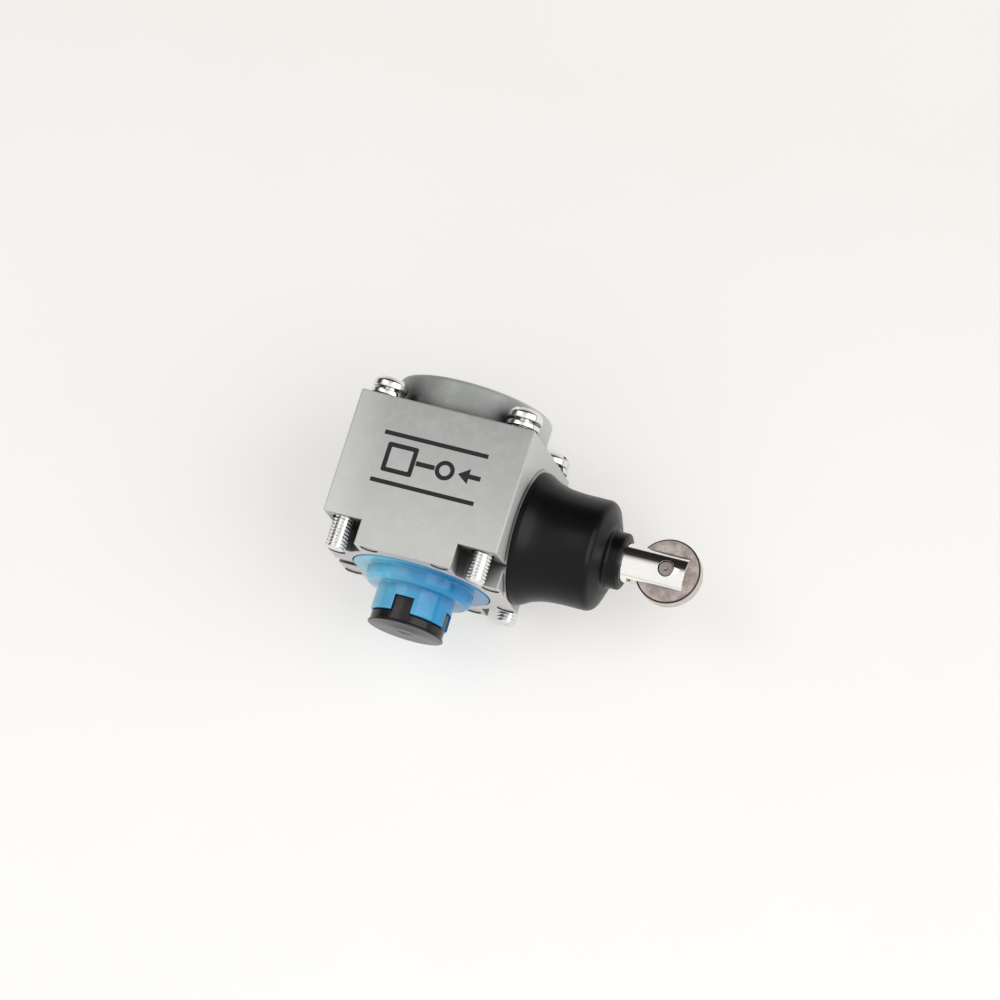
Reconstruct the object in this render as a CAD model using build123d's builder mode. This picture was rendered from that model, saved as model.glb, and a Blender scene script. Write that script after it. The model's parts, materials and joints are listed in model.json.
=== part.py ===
from build123d import *
import math
import os

# Side-push roller-plunger operator head of a heavy-duty limit switch.
# Frame: origin at the centre of the mounting face, on the output axis.
# +X = the way the roller plunger points, +Y = from the mounting face into the head,
# +Z = the way the label face looks. The head lies on its back face (Z = -BODY_HALF).

# ---------------------------------------------------------------- driving dimensions (mm)
BODY_W = 42.0            # body width along X
BODY_D = 42.0            # body depth along Z
BODY_H = 35.5            # body height along Y, mounting face to screw seats
HALF = BODY_W / 2
EDGE_R = 1.5             # radius of the two upright edges at the back
FRONT_R = 0.45           # radius of the two upright edges beside the label face
NOTCH_W = 9.35           # corner notch along X
NOTCH_D = 9.6            # corner notch along Z
NOTCH_H = 5.8            # corner notch height
COLLAR_R = 18.4          # round wall of the output bore, seen inside the notches
BOSS_R = 18.2            # round boss on the screw side
BOSS_H = 8.1

SCREW_S = 16.8           # screw pattern half spacing
SCREW_R = 2.38           # major radius, number 10 thread
SCREW_HOLE_R = 2.75
SCREW_TIP_Y = -1.0
HEAD_R = 4.1
HEAD_Y0 = BODY_H + 2.3
HEAD_Y1 = BODY_H + 5.0
SHANK_R = 1.95           # relieved shank above the thread
PITCH = 1.0              # thread pitch
THREAD_TOP = 5.6         # the thread ends where the clearance hole starts
WASHER_Y0 = BODY_H + 0.45
WASHER_T = 1.3
WASHER_R = 3.9

SEAT_R = 16.5            # counterbore for the output guide flange
SEAT_DEPTH = 2.2
CAVITY_R = 12.2          # main cavity, on the output axis
CAVITY_TOP = 39.5        # the cavity runs up into the boss

FLANGE_R = 15.8          # blue output guide
DRUM1_R = 12.6
DRUM1_Y = -3.6
DRUM2_R = 9.1
DRUM2_Y = -9.9
SLOT_W = 4.7
SLOT_Y = -6.3
GUIDE_BORE_R = 7.3
WEB_Y0, WEB_Y1 = -3.4, -2.2
WEB_BORE_R = 2.7

CUP_R = 8.7              # black output plunger
CUP_LIP_R = 8.95
CUP_END_Y = -12.6
CUP_SKIRT_R = 7.25
TOOTH_W = 4.3

SHAFT_Y = 15.7           # plunger axis height
SHAFT_R = 4.55
SHAFT_END_X = 59.7
TAIL_R = 3.0
TAIL_END_X = -12.8
SHOULDER_X = 8.0
SLOT_HALF = 2.15         # clevis slot half width
SLOT_ROOT_X = 46.4
PIN_X = 55.2
PIN_R = 1.75
ROLLER_R = 7.55
ROLLER_T = 4.0
BUSH_R = 2.7             # roller bushing outer radius

STROKE = 5.6             # full plunger travel
RATIO = 0.5              # output travel per plunger travel, the wedge's slope
CAM_X0, CAM_X1 = -4.0, 8.0
CAM_Y0 = 9.5             # wedge face height at X = 0
CAM_HALF_Z = 5.0
CAM_TOP_Y = 20.7
FOLLOWER_R = 2.0
FOLLOWER_GAP = 0.03

PAD_R = 16.0             # raised round pad behind the boot
PAD_X = 21.5
BORE_X_R = 6.6           # bore for the plunger bushing

os.makedirs("parts", exist_ok=True)


def side_plane(x):
    # sketch plane facing +X at height x, local x = row Y, local y = row Z
    return Plane(origin=(x, 0, 0), x_dir=(0, 1, 0), z_dir=(1, 0, 0))


def up_plane(y):
    # sketch plane facing +Y at height y, local x = row X, local y = -row Z
    return Plane(origin=(0, y, 0), x_dir=(1, 0, 0), z_dir=(0, 1, 0))


SHAFT_AXIS = Axis((0, SHAFT_Y, 0), (1, 0, 0))
corners = [(sx * SCREW_S, sz * SCREW_S) for sx in (-1, 1) for sz in (-1, 1)]
notch_centres = [
    (sx * (HALF + 3 - (NOTCH_W + 3) / 2), sz * (HALF + 3 - (NOTCH_D + 3) / 2))
    for sx in (-1, 1) for sz in (-1, 1)
]

# ---------------------------------------------------------------- housing: die casting
with BuildPart() as housing:
    with BuildSketch(up_plane(0)):
        Rectangle(BODY_W, BODY_D)
    extrude(amount=BODY_H)
    uprights = housing.edges().filter_by(Axis.Y)
    fillet(uprights.filter_by(lambda e: e.center().Z < 0), EDGE_R)
    uprights = housing.edges().filter_by(Axis.Y)
    fillet(uprights.filter_by(lambda e: e.center().Z > HALF - 0.01 and abs(e.center().X) > HALF - 0.01), FRONT_R)
    fillet(housing.faces().sort_by(Axis.Y)[-1].edges(), 0.4)
    # round boss on the screw side
    with BuildSketch(up_plane(BODY_H)):
        Circle(BOSS_R)
    extrude(amount=BOSS_H)
    # raised pad behind the boot
    with BuildSketch(side_plane(HALF - 0.5)):
        with Locations((SHAFT_Y, 0)):
            Circle(PAD_R)
    extrude(amount=PAD_X - HALF + 0.5)
    # pad doesn't reach past the mounting face
    with BuildSketch(up_plane(0)):
        with Locations((HALF, 0)):
            Rectangle(8, BODY_D)
    extrude(amount=-3, mode=Mode.SUBTRACT)
    # four corner notches for the screw tips
    with BuildSketch(up_plane(0)):
        with Locations(*notch_centres):
            Rectangle(NOTCH_W + 3, NOTCH_D + 3)
    extrude(amount=NOTCH_H, mode=Mode.SUBTRACT)
    # the round wall of the output bore stands into the notches
    with BuildSketch(up_plane(0)):
        Circle(COLLAR_R)
    extrude(amount=NOTCH_H)
    # output bore: seat for the guide flange, then the main cavity
    with BuildSketch(up_plane(0)):
        Circle(SEAT_R)
    extrude(amount=SEAT_DEPTH, mode=Mode.SUBTRACT)
    with BuildSketch(up_plane(0)):
        Circle(CAVITY_R)
    extrude(amount=CAVITY_TOP, mode=Mode.SUBTRACT)
    # plunger bore through the +X wall
    with BuildSketch(side_plane(0)):
        with Locations((SHAFT_Y, 0)):
            Circle(BORE_X_R)
    extrude(amount=PAD_X + 1, mode=Mode.SUBTRACT)
    # seal recess in the pad
    with BuildSketch(side_plane(PAD_X + 1)):
        with Locations((SHAFT_Y, 0)):
            Circle(8.6)
    extrude(amount=-(PAD_X + 1 - 19.4), mode=Mode.SUBTRACT)
    # spring and tail pocket in the -X wall
    with BuildSketch(side_plane(0)):
        with Locations((SHAFT_Y, 0)):
            Circle(5.4)
    extrude(amount=-18.6, mode=Mode.SUBTRACT)
    # screw holes
    with BuildSketch(up_plane(0)):
        with Locations(*corners):
            Circle(SCREW_HOLE_R)
    extrude(amount=BODY_H + 1, mode=Mode.SUBTRACT)
    # vent groove in the mounting face, from the -X edge to the bore
    with BuildSketch(up_plane(0)):
        with Locations((-19.5, 0.8)):
            Rectangle(9, 3.8)
    extrude(amount=0.6, mode=Mode.SUBTRACT)
    # shallow ejector-pin marks in the mounting face
    marks = [(sx * 18.7, sz * 8.6) for sx in (-1, 1) for sz in (-1, 1)]
    marks += [(sx * 8.5, sz * 18.7) for sx in (-1, 1) for sz in (-1, 1)]
    with BuildSketch(up_plane(0)):
        with Locations(*marks):
            Circle(2.1)
    extrude(amount=0.35, mode=Mode.SUBTRACT)
    # small radii on the notch mouths and on the mounting face's outer edges
    mouths = housing.edges().filter_by(GeomType.LINE).filter_by(
        lambda e: e.center().Y < NOTCH_H + 0.01 and e.length > 1.0
        and (abs(abs(e.center().Z) - HALF) < 0.01 or abs(abs(e.center().X) - HALF) < 0.01)
        and not (abs(abs(e.center().Z) - HALF) < EDGE_R + 0.01 and abs(abs(e.center().X) - HALF) < EDGE_R + 0.01))
    fillet(mouths, 0.3)
    # boss rim and root radii
    rim = housing.edges().filter_by(GeomType.CIRCLE).filter_by(
        lambda e: abs(e.center().Y - BODY_H - BOSS_H) < 0.01 and e.radius > 15)
    fillet(rim, 1.0)
    root = housing.edges().filter_by(GeomType.CIRCLE).filter_by(
        lambda e: abs(e.center().Y - BODY_H) < 0.01 and e.radius > 15)
    fillet(root, 0.4)
housing.part.label = "housing"

# ---------------------------------------------------------------- blue output guide
with BuildPart() as output_guide:
    with BuildSketch(Plane.XY):
        with BuildLine():
            Polyline(
                (WEB_BORE_R, WEB_Y0), (GUIDE_BORE_R, WEB_Y0), (GUIDE_BORE_R, DRUM2_Y),
                (DRUM2_R, DRUM2_Y), (DRUM2_R, DRUM1_Y + 0.0), (DRUM1_R - 0.7, DRUM1_Y),
                (DRUM1_R, DRUM1_Y + 0.7), (DRUM1_R, -0.15), (FLANGE_R, -0.15),
                (FLANGE_R, 2.15), (12.1, 2.15), (12.1, 3.4), (10.9, 3.4), (10.9, WEB_Y1),
                (WEB_BORE_R, WEB_Y1), (WEB_BORE_R, WEB_Y0),
            )
        make_face()
    revolve(axis=Axis.Y)
    # four slots in the lower drum, one for each tooth of the output plunger
    for angle in (0, 90, 180, 270):
        with BuildSketch(Plane(origin=(0, 0, 0), x_dir=(0, 1, 0),
                               z_dir=(math.cos(math.radians(angle)), 0, math.sin(math.radians(angle))))):
            with Locations(((SLOT_Y + DRUM2_Y - 1) / 2, 0)):
                Rectangle(SLOT_Y - DRUM2_Y + 1, SLOT_W)
        extrude(amount=DRUM2_R + 2, mode=Mode.SUBTRACT)
    lip = output_guide.edges().filter_by(GeomType.CIRCLE).filter_by(
        lambda e: abs(e.center().Y + 0.15) < 0.01 and abs(e.radius - FLANGE_R) < 0.05)
    fillet(lip, 0.3)
output_guide.part.label = "output_guide"

# ---------------------------------------------------------------- gasket around the guide flange
with BuildPart() as guide_gasket:
    with BuildSketch(up_plane(0.1)):
        Circle(SEAT_R - 0.02)
        Circle(FLANGE_R + 0.02, mode=Mode.SUBTRACT)
    extrude(amount=2.08)
guide_gasket.part.label = "guide_gasket"

# ---------------------------------------------------------------- captive screws, four in one node
thread = [(0, SCREW_TIP_Y), (1.75, SCREW_TIP_Y), (SCREW_R - 0.4, SCREW_TIP_Y + 0.2)]
crest = SCREW_TIP_Y + 0.6
while crest + 0.3 < THREAD_TOP:
    thread += [(SCREW_R, crest), (SCREW_R, crest + 0.3), (SHANK_R, crest + 0.6), (SHANK_R, crest + 0.7)]
    crest += PITCH
thread += [(SHANK_R, HEAD_Y0), (HEAD_R, HEAD_Y0), (HEAD_R, HEAD_Y1), (0, HEAD_Y1)]
with BuildPart() as captive_screws:
    for cx, cz in corners:
        with BuildSketch(Plane(origin=(cx, 0, cz), x_dir=(1, 0, 0), z_dir=(0, 0, 1))):
            with BuildLine():
                Polyline(*thread, close=True)
            make_face()
        revolve(axis=Axis((cx, 0, cz), (0, 1, 0)))
    tops = captive_screws.edges().filter_by(GeomType.CIRCLE).filter_by(
        lambda e: abs(e.center().Y - HEAD_Y1) < 0.01)
    fillet(tops, 1.1)
    for cx, cz in corners:
        with BuildSketch(up_plane(HEAD_Y1)):
            with Locations(Location((cx, cz, 0), 35 if cx > 0 else 10)):
                Rectangle(8.4, 1.2)
        extrude(amount=-1.2, mode=Mode.SUBTRACT)
captive_screws.part.label = "captive_screws"

# ---------------------------------------------------------------- split lock washers, four in one node
with BuildPart() as lock_washers:
    for cx, cz in corners:
        with BuildSketch(up_plane(WASHER_Y0)):
            with Locations((cx, cz)):
                Circle(WASHER_R)
                Circle(2.5, mode=Mode.SUBTRACT)
            with Locations((cx + 3.3, cz)):
                Rectangle(2.4, 0.7, mode=Mode.SUBTRACT)
        extrude(amount=WASHER_T)
lock_washers.part.label = "lock_washers"

# ---------------------------------------------------------------- plunger bushing
with BuildPart() as plunger_bushing:
    with BuildSketch(side_plane(SHOULDER_X + 0.15)):
        with Locations((SHAFT_Y, 0)):
            Circle(BORE_X_R)
            Circle(SHAFT_R + 0.04, mode=Mode.SUBTRACT)
    extrude(amount=19.4 - SHOULDER_X - 0.15)
    inner_rim = plunger_bushing.edges().filter_by(GeomType.CIRCLE).filter_by(
        lambda e: e.radius > 6 and e.center().X < 10)
    chamfer(inner_rim, 0.4)
plunger_bushing.part.label = "plunger_bushing"

# ---------------------------------------------------------------- shaft seal in the pad recess
with BuildPart() as shaft_seal:
    with BuildSketch(Plane.XY):
        with BuildLine():
            Polyline((19.45, SHAFT_Y + 8.55), (19.45, SHAFT_Y + SHAFT_R + 0.9),
                     (20.4, SHAFT_Y + SHAFT_R + 0.05), (20.9, SHAFT_Y + SHAFT_R + 0.05),
                     (21.3, SHAFT_Y + SHAFT_R + 0.8), (21.3, SHAFT_Y + 8.55),
                     (19.45, SHAFT_Y + 8.55))
        make_face()
    revolve(axis=SHAFT_AXIS)
shaft_seal.part.label = "shaft_seal"

# ---------------------------------------------------------------- pressed washer that holds the seal
with BuildPart() as seal_retainer:
    with BuildSketch(side_plane(21.35)):
        with Locations((SHAFT_Y, 0)):
            Circle(8.6)
            Circle(SHAFT_R + 0.45, mode=Mode.SUBTRACT)
    extrude(amount=0.8)
seal_retainer.part.label = "seal_retainer"

# ---------------------------------------------------------------- rubber boot over the plunger
with BuildPart() as boot:
    y = SHAFT_Y
    with BuildSketch(Plane.XY):
        with BuildLine():
            Polyline((PAD_X + 0.05, y + 15.45), (PAD_X + 1.1, y + 15.45))
            Spline((PAD_X + 1.1, y + 15.45), (24.7, y + 14.35), (27.6, y + 13.3),
                   (32.0, y + 12.92), (37.1, y + 12.9),
                   tangents=((0.75, -0.66), (1, 0)))
            Spline((37.1, y + 12.9), (39.85, y + 11.2), (41.2, y + 8.2), (41.6, y + 6.65),
                   tangents=((1, 0), (0.15, -1)))
            Polyline((41.6, y + 6.65), (44.2, y + 6.6), (44.8, y + 6.0), (44.9, y + 4.75),
                     (44.7, y + 4.62), (41.6, y + 4.62), (40.3, y + 5.3),
                     (39.2, y + 8.2), (37.6, y + 10.6), (35.6, y + 11.2), (27.6, y + 11.6),
                     (24.4, y + 12.7), (PAD_X + 0.05, y + 13.4), (PAD_X + 0.05, y + 15.45))
        make_face()
    revolve(axis=SHAFT_AXIS)
boot.part.label = "boot"

# ---------------------------------------------------------------- rear guide sleeve and spring seat
with BuildPart() as rear_guide:
    with BuildSketch(side_plane(-18.6)):
        with Locations((SHAFT_Y, 0)):
            Circle(5.35)
            Circle(TAIL_R + 0.04, mode=Mode.SUBTRACT)
    extrude(amount=1.0)
    with BuildSketch(side_plane(-17.6)):
        with Locations((SHAFT_Y, 0)):
            Circle(3.75)
            Circle(TAIL_R + 0.04, mode=Mode.SUBTRACT)
    extrude(amount=7.4)
rear_guide.part.label = "rear_guide"


# ---------------------------------------------------------------- plunger return spring
def coil(radius, wire, length, turns):
    with BuildPart() as spring:
        with BuildLine():
            path = Helix(pitch=length / turns, height=length, radius=radius)
        with BuildSketch(Plane(origin=path @ 0, z_dir=path % 0)):
            Circle(wire)
        sweep(path=path, is_frenet=True)
    return spring.part


spring_len = CAM_X0 - (-17.6) - 0.9
plunger_spring = coil(4.55, 0.35, spring_len, 8).moved(
    Plane(origin=(-17.6 + 0.45, SHAFT_Y, 0), x_dir=(0, 1, 0), z_dir=(1, 0, 0)).location)
plunger_spring.label = "plunger_spring"

# ---------------------------------------------------------------- plunger shaft with the clevis
with BuildPart() as plunger_shaft:
    with BuildSketch(Plane.XY):
        with BuildLine():
            Polyline((TAIL_END_X, SHAFT_Y), (TAIL_END_X, SHAFT_Y + TAIL_R - 0.4),
                     (TAIL_END_X + 0.4, SHAFT_Y + TAIL_R), (SHOULDER_X, SHAFT_Y + TAIL_R),
                     (SHOULDER_X, SHAFT_Y + SHAFT_R), (SHAFT_END_X - 0.3, SHAFT_Y + SHAFT_R),
                     (SHAFT_END_X, SHAFT_Y + SHAFT_R - 0.3), (SHAFT_END_X, SHAFT_Y),
                     (TAIL_END_X, SHAFT_Y))
        make_face()
    revolve(axis=SHAFT_AXIS)
    # clevis slot for the roller
    with BuildSketch(Plane.XY.offset(-SLOT_HALF)):
        with Locations(((SLOT_ROOT_X + SHAFT_END_X + 2) / 2, SHAFT_Y)):
            Rectangle(SHAFT_END_X + 2 - SLOT_ROOT_X, 3 * SHAFT_R)
    extrude(amount=2 * SLOT_HALF, mode=Mode.SUBTRACT)
    # pin bore through both ears
    with BuildSketch(Plane.XY.offset(-8)):
        with Locations((PIN_X, SHAFT_Y)):
            Circle(PIN_R)
    extrude(amount=16, mode=Mode.SUBTRACT)
    # countersinks at the pin bore's mouths
    with BuildSketch(Plane.XY.offset(SHAFT_R - 0.35)):
        with Locations((PIN_X, SHAFT_Y)):
            Circle(PIN_R + 0.25)
    extrude(amount=2, mode=Mode.SUBTRACT)
    with BuildSketch(Plane.XY.offset(-SHAFT_R + 0.35)):
        with Locations((PIN_X, SHAFT_Y)):
            Circle(PIN_R + 0.25)
    extrude(amount=-2, mode=Mode.SUBTRACT)
    # cross hole for the cam pin
    with BuildSketch(Plane.XY.offset(-8)):
        with Locations((3.5, SHAFT_Y)):
            Circle(1.0)
    extrude(amount=16, mode=Mode.SUBTRACT)
plunger_shaft.part.label = "plunger_shaft"

# ---------------------------------------------------------------- drive cam: wedge on the shaft's waist
with BuildPart() as drive_cam:
    with BuildSketch(Plane.XY.offset(-CAM_HALF_Z)):
        with BuildLine():
            Polyline((CAM_X0, CAM_Y0 - RATIO * CAM_X0), (CAM_X1 - 0.0, CAM_Y0 - RATIO * CAM_X1),
                     (CAM_X1, CAM_TOP_Y), (CAM_X0, CAM_TOP_Y), (CAM_X0, CAM_Y0 - RATIO * CAM_X0))
        make_face()
    extrude(amount=2 * CAM_HALF_Z)
    fillet(drive_cam.edges().filter_by(Axis.Z).sort_by(Axis.Y)[-2:], 0.8)
    with BuildSketch(side_plane(CAM_X0 - 1)):
        with Locations((SHAFT_Y, 0)):
            Circle(TAIL_R)
    extrude(amount=CAM_X1 - CAM_X0 + 2, mode=Mode.SUBTRACT)
    with BuildSketch(Plane.XY.offset(-8)):
        with Locations((3.5, SHAFT_Y)):
            Circle(1.0)
    extrude(amount=16, mode=Mode.SUBTRACT)
drive_cam.part.label = "drive_cam"

# ---------------------------------------------------------------- cross pin through cam and shaft
with BuildPart() as cam_pin:
    with BuildSketch(Plane.XY.offset(-CAM_HALF_Z)):
        with Locations((3.5, SHAFT_Y)):
            Circle(1.0)
    extrude(amount=2 * CAM_HALF_Z)
    chamfer(cam_pin.edges().filter_by(GeomType.CIRCLE), 0.2)
cam_pin.part.label = "cam_pin"

# ---------------------------------------------------------------- roller pin, held in the ears
with BuildPart() as roller_pin:
    with BuildSketch(Plane.XY.offset(-4.1)):
        with Locations((PIN_X, SHAFT_Y)):
            Circle(PIN_R)
    extrude(amount=8.2)
    chamfer(roller_pin.edges().filter_by(GeomType.CIRCLE), 0.2)
roller_pin.part.label = "roller_pin"

# ---------------------------------------------------------------- roller and its bushing
with BuildPart() as roller:
    with BuildSketch(Plane.XY.offset(-ROLLER_T / 2)):
        with Locations((PIN_X, SHAFT_Y)):
            Circle(ROLLER_R)
            Circle(BUSH_R, mode=Mode.SUBTRACT)
    extrude(amount=ROLLER_T)
    rims = roller.edges().filter_by(GeomType.CIRCLE).filter_by(lambda e: e.radius > 5)
    fillet(rims, 0.45)
roller.part.label = "roller"

with BuildPart() as roller_bushing:
    with BuildSketch(Plane.XY.offset(-ROLLER_T / 2 - 0.05)):
        with Locations((PIN_X, SHAFT_Y)):
            Circle(BUSH_R)
            Circle(PIN_R + 0.04, mode=Mode.SUBTRACT)
    extrude(amount=ROLLER_T + 0.1)
roller_bushing.part.label = "roller_bushing"

# ---------------------------------------------------------------- black output plunger: cup with four teeth
with BuildPart() as output_plunger:
    with BuildSketch(Plane.XY):
        with BuildLine():
            Polyline((0, CUP_END_Y), (CUP_LIP_R, CUP_END_Y), (CUP_LIP_R, CUP_END_Y + 0.45),
                     (CUP_R, CUP_END_Y + 0.8), (CUP_R, DRUM2_Y - 0.25),
                     (CUP_SKIRT_R, DRUM2_Y - 0.25), (CUP_SKIRT_R, -6.55), (5.6, -6.55),
                     (5.6, -11.0), (0, -11.0), (0, CUP_END_Y))
        make_face()
    revolve(axis=Axis.Y)
    for angle in (0, 90, 180, 270):
        with BuildSketch(Plane(origin=(0, 0, 0), x_dir=(0, 1, 0),
                               z_dir=(math.cos(math.radians(angle)), 0, math.sin(math.radians(angle)))).offset(6.4)):
            with Locations(((-6.55 + DRUM2_Y - 0.6) / 2, 0)):
                Rectangle(-6.55 - DRUM2_Y + 0.6, TOOTH_W)
        extrude(amount=CUP_R + 1.5 - 6.4)
    with BuildSketch(up_plane(-5)):
        Circle(14)
        Circle(CUP_R, mode=Mode.SUBTRACT)
    extrude(amount=-5.8, mode=Mode.SUBTRACT)
    # socket for the stem
    with BuildSketch(up_plane(-11.0)):
        Circle(3.6)
        Circle(2.3, mode=Mode.SUBTRACT)
    extrude(amount=4.0)
output_plunger.part.label = "output_plunger"

# ---------------------------------------------------------------- output stem with its spring flange
PAD_CY = CAM_Y0 - FOLLOWER_R / math.cos(math.atan(RATIO)) - FOLLOWER_GAP
with BuildPart() as output_stem:
    with BuildSketch(Plane.XY):
        with BuildLine():
            Polyline((0, -11.0), (2.3, -11.0), (2.3, -6.2), (2.6, -6.2), (2.6, 4.0), (5.2, 4.0),
                     (5.2, PAD_CY - 1.4), (0, PAD_CY - 1.4), (0, -11.0))
        make_face()
    revolve(axis=Axis.Y)
output_stem.part.label = "output_stem"

# ---------------------------------------------------------------- hardened follower that rides on the wedge
with BuildPart() as cam_follower:
    with BuildSketch(Plane.XY.offset(-4)):
        with BuildLine():
            Polyline((-FOLLOWER_R, PAD_CY), (-FOLLOWER_R, PAD_CY - 1.4), (FOLLOWER_R, PAD_CY - 1.4),
                     (FOLLOWER_R, PAD_CY))
            CenterArc((0, PAD_CY), FOLLOWER_R, 0, 180)
        make_face()
    extrude(amount=8)
cam_follower.part.label = "cam_follower"

# ---------------------------------------------------------------- output return spring
output_spring = coil(3.9, 0.28, 4.0 - WEB_Y1 - 0.6, 4).moved(
    Plane(origin=(0, WEB_Y1 + 0.3, 0), x_dir=(1, 0, 0), z_dir=(0, 1, 0)).location)
output_spring.label = "output_spring"

pieces = [housing, output_guide, guide_gasket, captive_screws, lock_washers, plunger_bushing,
          shaft_seal, seal_retainer, boot, rear_guide, plunger_shaft, drive_cam, cam_pin,
          roller_pin, roller, roller_bushing, output_plunger, output_stem, cam_follower]
for piece in pieces:
    export_step(piece.part, "parts/" + piece.part.label + ".step")
for solid in (plunger_spring, output_spring):
    export_step(solid, "parts/" + solid.label + ".step")
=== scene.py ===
import json
import math

import bmesh
import bpy
from mathutils import Matrix, Vector


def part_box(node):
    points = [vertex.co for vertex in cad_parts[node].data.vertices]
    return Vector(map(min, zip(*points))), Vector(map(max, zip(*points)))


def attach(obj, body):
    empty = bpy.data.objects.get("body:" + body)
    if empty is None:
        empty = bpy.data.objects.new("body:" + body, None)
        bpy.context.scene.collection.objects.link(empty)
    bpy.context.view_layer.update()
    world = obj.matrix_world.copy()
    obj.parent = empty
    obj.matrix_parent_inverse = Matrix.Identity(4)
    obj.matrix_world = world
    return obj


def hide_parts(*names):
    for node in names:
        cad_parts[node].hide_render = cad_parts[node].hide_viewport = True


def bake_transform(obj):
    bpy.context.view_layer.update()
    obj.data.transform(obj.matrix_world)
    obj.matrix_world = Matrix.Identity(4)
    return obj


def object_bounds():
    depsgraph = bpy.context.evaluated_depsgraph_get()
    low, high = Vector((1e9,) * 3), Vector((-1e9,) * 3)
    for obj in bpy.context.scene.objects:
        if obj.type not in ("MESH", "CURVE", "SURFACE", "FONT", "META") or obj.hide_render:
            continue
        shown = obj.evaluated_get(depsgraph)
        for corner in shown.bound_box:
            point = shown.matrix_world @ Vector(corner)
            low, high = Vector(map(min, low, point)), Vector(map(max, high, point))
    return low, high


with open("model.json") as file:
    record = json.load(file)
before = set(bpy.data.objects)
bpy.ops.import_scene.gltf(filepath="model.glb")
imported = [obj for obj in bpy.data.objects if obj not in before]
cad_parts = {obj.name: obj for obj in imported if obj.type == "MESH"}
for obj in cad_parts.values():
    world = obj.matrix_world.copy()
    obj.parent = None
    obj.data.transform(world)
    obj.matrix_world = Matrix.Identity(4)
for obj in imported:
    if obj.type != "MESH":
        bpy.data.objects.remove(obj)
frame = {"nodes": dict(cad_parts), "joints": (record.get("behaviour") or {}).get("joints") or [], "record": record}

cad_lo, cad_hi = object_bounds()
MM = 0.001
TAU = 2 * math.pi


# ----------------------------------------------------------------------------- sizes, all from the frame, in mm
def mm_box(node):
    lo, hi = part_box(node)
    return Vector(lo) / MM, Vector(hi) / MM


H_LO, H_HI = mm_box("housing")
G_LO, G_HI = mm_box("output_guide")
C_LO, C_HI = mm_box("output_plunger")
S_LO, S_HI = mm_box("captive_screws")
W_LO, W_HI = mm_box("lock_washers")
B_LO, B_HI = mm_box("boot")
P_LO, P_HI = mm_box("plunger_shaft")
R_LO, R_HI = mm_box("roller")
PIN_LO, PIN_HI = mm_box("roller_pin")
spin = next(j for j in frame["joints"] if j["name"] == "roller_spin")
PIN_X, AXIS_Y = spin["pos_m"][0] / MM, spin["pos_m"][1] / MM
SHAFT_R = (P_HI.z - P_LO.z) / 2
FLOOR_Z = cad_lo.z
SCREW_S = (S_HI.x - S_LO.x) / 2 - 4.1      # screw pattern half spacing
BODY_TOP = H_HI.y - 8.1             # screw seats
LABEL_Z = H_HI.z


# ----------------------------------------------------------------------------- mesh helpers (work in mm, end in metres)
def new_object(name, verts, faces):
    mesh = bpy.data.meshes.new(name)
    mesh.from_pydata([tuple(v) for v in verts], [], faces)
    mesh.validate()
    obj = bpy.data.objects.new(name, mesh)
    bpy.context.scene.collection.objects.link(obj)
    fix_normals(obj)
    return obj


def fix_normals(obj, merge=1e-5):
    bm = bmesh.new()
    bm.from_mesh(obj.data)
    bmesh.ops.remove_doubles(bm, verts=bm.verts, dist=merge)
    bmesh.ops.dissolve_degenerate(bm, dist=merge, edges=bm.edges)
    bmesh.ops.recalc_face_normals(bm, faces=bm.faces)
    bm.to_mesh(obj.data)
    bm.free()


def arcs(points, radii, steps=4, closed=False):
    """A polyline whose corners are rounded to the given radii."""
    n, out = len(points), []
    for i, p in enumerate(points):
        r = radii[i] if i < len(radii) else 0
        ends = (i == 0 or i == n - 1) and not closed
        if r <= 0 or ends:
            out.append(tuple(p))
            continue
        a, b, c = Vector(points[i - 1]), Vector(p), Vector(points[(i + 1) % n])
        u, v = (a - b).normalized(), (c - b).normalized()
        angle = u.angle(v)
        if angle > math.pi - 0.02:
            out.append(tuple(p))
            continue
        t = min(r / math.tan(angle / 2), 0.49 * (a - b).length, 0.49 * (c - b).length)
        rr = t * math.tan(angle / 2)
        centre = b + (u + v).normalized() * (rr / math.sin(angle / 2))
        s, e = b + u * t - centre, b + v * t - centre
        sweep = s.angle(e)
        side = 1 if s.x * e.y - s.y * e.x > 0 else -1
        for k in range(steps + 1):
            q = Matrix.Rotation(side * sweep * k / steps, 2) @ s
            out.append(tuple(centre + q))
    return out


def lathe(name, profile, axis, origin=(0, 0, 0), segs=160, closed=True, a0=0.0, a1=TAU):
    """Turns a profile of (along, radius) points about an axis through origin."""
    full = abs(a1 - a0 - TAU) < 1e-6
    cols = segs if full else segs + 1
    verts, rows = [], []
    for a, r in profile:
        if r < 1e-6:
            verts.append(place(a, 0, 0, axis, origin))
            rows.append([len(verts) - 1] * cols)
            continue
        row = []
        for k in range(cols):
            t = a0 + (a1 - a0) * k / segs
            verts.append(place(a, r * math.cos(t), r * math.sin(t), axis, origin))
            row.append(len(verts) - 1)
        rows.append(row)
    faces = []
    pairs = list(zip(rows, rows[1:] + ([rows[0]] if closed else [])))
    for lo, hi in pairs:
        for k in range(segs):
            m = (k + 1) % cols if full else k + 1
            f = [lo[k], lo[m], hi[m], hi[k]]
            g = []
            for i in f:
                if i not in g:
                    g.append(i)
            if len(g) > 2:
                faces.append(g)
    if not full:
        faces.append([row[0] for row in rows])
        faces.append([row[-1] for row in rows])
    return new_object(name, verts, faces)


def place(a, u, v, axis, origin):
    o = origin
    if axis == "x":
        return (o[0] + a, o[1] + u, o[2] + v)
    if axis == "y":
        return (o[0] + u, o[1] + a, o[2] + v)
    return (o[0] + u, o[1] + v, o[2] + a)


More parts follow.
